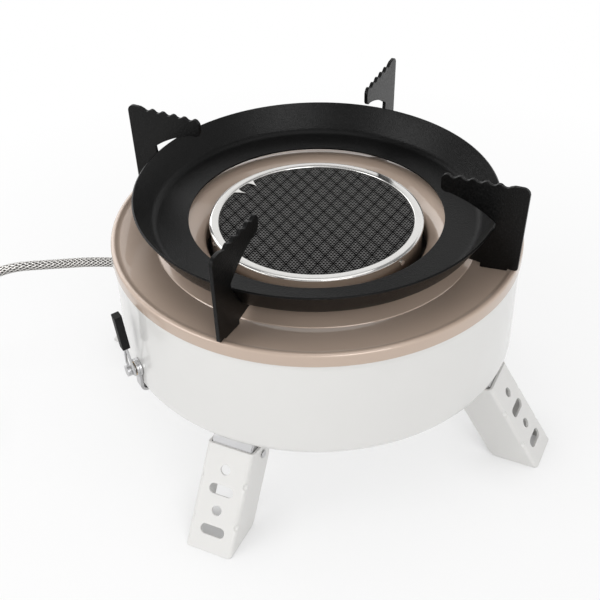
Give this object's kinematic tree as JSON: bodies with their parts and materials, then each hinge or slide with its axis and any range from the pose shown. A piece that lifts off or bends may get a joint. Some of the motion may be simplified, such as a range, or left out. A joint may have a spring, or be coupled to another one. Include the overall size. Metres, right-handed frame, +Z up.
{
  "type": "portable stove",
  "caption": "Round portable gas stove with a ceramic burner plate, flared windshield, toothed pan supports, folding legs, a folding valve key and a braided hose.",
  "frame": {"origin": "on the ground under the middle of the burner, the hose left out", "axes": "+Z up; the front leg and front pan support point along -Y and the right ones along +X"},
  "size_m": [0.4053, 0.3796, 0.1828],
  "materials": {
    "white_coat": "glossy powder coat",
    "taupe_coat": "glossy enamel",
    "black_coat": "matt heat-proof coat",
    "burner_steel": "plain sheet",
    "polished_steel": "polished",
    "burner_ceramic": "fired, matt",
    "fibre": "pressed fibre",
    "zinc_steel": "zinc plated",
    "brass": "turned",
    "copper_pipe": "drawn",
    "nickel_steel": "nickel plated",
    "seal_rubber": "moulded",
    "grip_black": "ribbed grip",
    "steel_braid": "woven wire"
  },
  "bodies": {
    "stove": {"body_shell": "white_coat", "top_cover": "taupe_coat", "burner_sleeve": "burner_steel", "plate_seat": "burner_steel", "gas_diffuser": "burner_steel", "retaining_ring": "polished_steel", "sleeve_rivets": "polished_steel", "burner_plate": "burner_ceramic", "plate_gasket": "fibre", "mixing_tube": "zinc_steel", "burner_stand": "zinc_steel", "base_screws": "zinc_steel", "valve_strip": "zinc_steel", "strip_screw": "zinc_steel", "valve_nut": "zinc_steel", "leg_pins": "zinc_steel", "bracket_rivets": "zinc_steel", "inlet_nut": "zinc_steel", "leg_bracket_right": "zinc_steel", "leg_bracket_back": "zinc_steel", "leg_bracket_left": "zinc_steel", "leg_bracket_front": "zinc_steel", "valve_body": "brass", "gas_jet": "brass", "pipe_nuts": "brass", "union_cone": "brass", "supply_pipe": "copper_pipe", "gas_inlet": "nickel_steel", "hose_ferrule": "nickel_steel", "end_ferrule": "nickel_steel", "spindle_seal": "seal_rubber", "gas_hose": "steel_braid", "hose_coil": "steel_braid", "hose_tail": "steel_braid"},
    "pan_rack": {"windshield": "black_coat", "pan_support_right": "black_coat", "pan_support_back": "black_coat", "pan_support_left": "black_coat", "pan_support_front": "black_coat"},
    "spindle": {"valve_spindle": "zinc_steel"},
    "key": {"key_wire": "zinc_steel", "key_sleeve": "grip_black"},
    "union": {"union_nut": "brass"},
    "right_leg": {"leg_right": "white_coat"},
    "back_leg": {"leg_back": "white_coat"},
    "left_leg": {"leg_left": "white_coat"},
    "front_leg": {"leg_front": "white_coat"}
  },
  "joints": [
    {"name": "right_leg_fold", "type": "hinge", "parent": "stove", "child": "right_leg", "pos_m": [0.10716, 0, 0.04242], "axis": [0, 1, 0], "range_deg": [0, 123]},
    {"name": "back_leg_fold", "type": "hinge", "parent": "stove", "child": "back_leg", "pos_m": [0, 0.10716, 0.04242], "axis": [-1, 0, 0], "range_deg": [0, 123]},
    {"name": "left_leg_fold", "type": "hinge", "parent": "stove", "child": "left_leg", "pos_m": [-0.10716, 0, 0.04242], "axis": [0, -1, 0], "range_deg": [0, 123]},
    {"name": "front_leg_fold", "type": "hinge", "parent": "stove", "child": "front_leg", "pos_m": [0, -0.10716, 0.04242], "axis": [1, 0, 0], "range_deg": [0, 123]},
    {"name": "pan_rack_lift", "type": "slide", "parent": "stove", "child": "pan_rack", "axis": [0, 0, 1], "range_m": [0, 0.06]},
    {"name": "spindle_turn", "type": "hinge", "parent": "stove", "child": "spindle", "pos_m": [-0.06883, -0.0983, 0.0715], "axis": [-0.5736, -0.8192, 0], "range_deg": [0, 300]},
    {"name": "key_fold", "type": "hinge", "parent": "spindle", "child": "key", "pos_m": [-0.07181, -0.10256, 0.0715], "axis": [0.8192, -0.5736, 0], "range_deg": [0, 165]},
    {"name": "union_spin", "type": "hinge", "parent": "stove", "child": "union", "pos_m": [-0.23818, -0.21951, 0.0095], "axis": [0.0639, -0.998, 0], "continuous": true}
  ]
}
